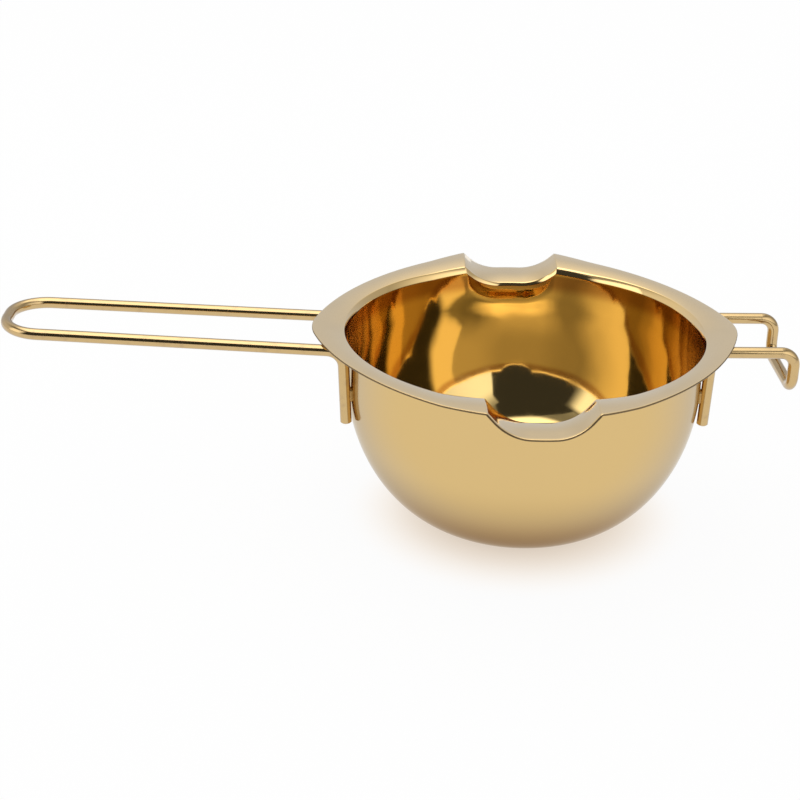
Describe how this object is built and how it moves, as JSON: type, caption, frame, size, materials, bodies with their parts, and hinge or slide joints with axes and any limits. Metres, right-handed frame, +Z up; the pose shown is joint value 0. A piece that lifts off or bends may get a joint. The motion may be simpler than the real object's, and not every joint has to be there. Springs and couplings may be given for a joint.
{
  "type": "double boiler pot",
  "caption": "Gold-coloured melting pot with pouring spouts, a flanged rim, a long wire handle and a wire hook that holds it over the rim of a larger pan.",
  "frame": {"origin": "middle of the flat base, on the surface that the pot stands on", "axes": "+Z up along the bowl's axis, -X along the long handle, +X towards the hook, spouts at -Y and +Y"},
  "size_m": [0.2775, 0.1568, 0.0772],
  "materials": {
    "gold_sheet": "gold-coloured coating on stainless steel, mirror polished inside and soft polished outside",
    "gold_wire": "gold-coloured coating on polished stainless steel wire",
    "weld_metal": "gold-coloured coating over a rough weld"
  },
  "bodies": {
    "root": {"bowl": "gold_sheet", "long_handle_wire": "gold_wire", "hook_wire": "gold_wire", "handle_weld_front": "weld_metal", "handle_weld_rear": "weld_metal", "hook_weld_front": "weld_metal", "hook_weld_rear": "weld_metal"}
  },
  "joints": []
}
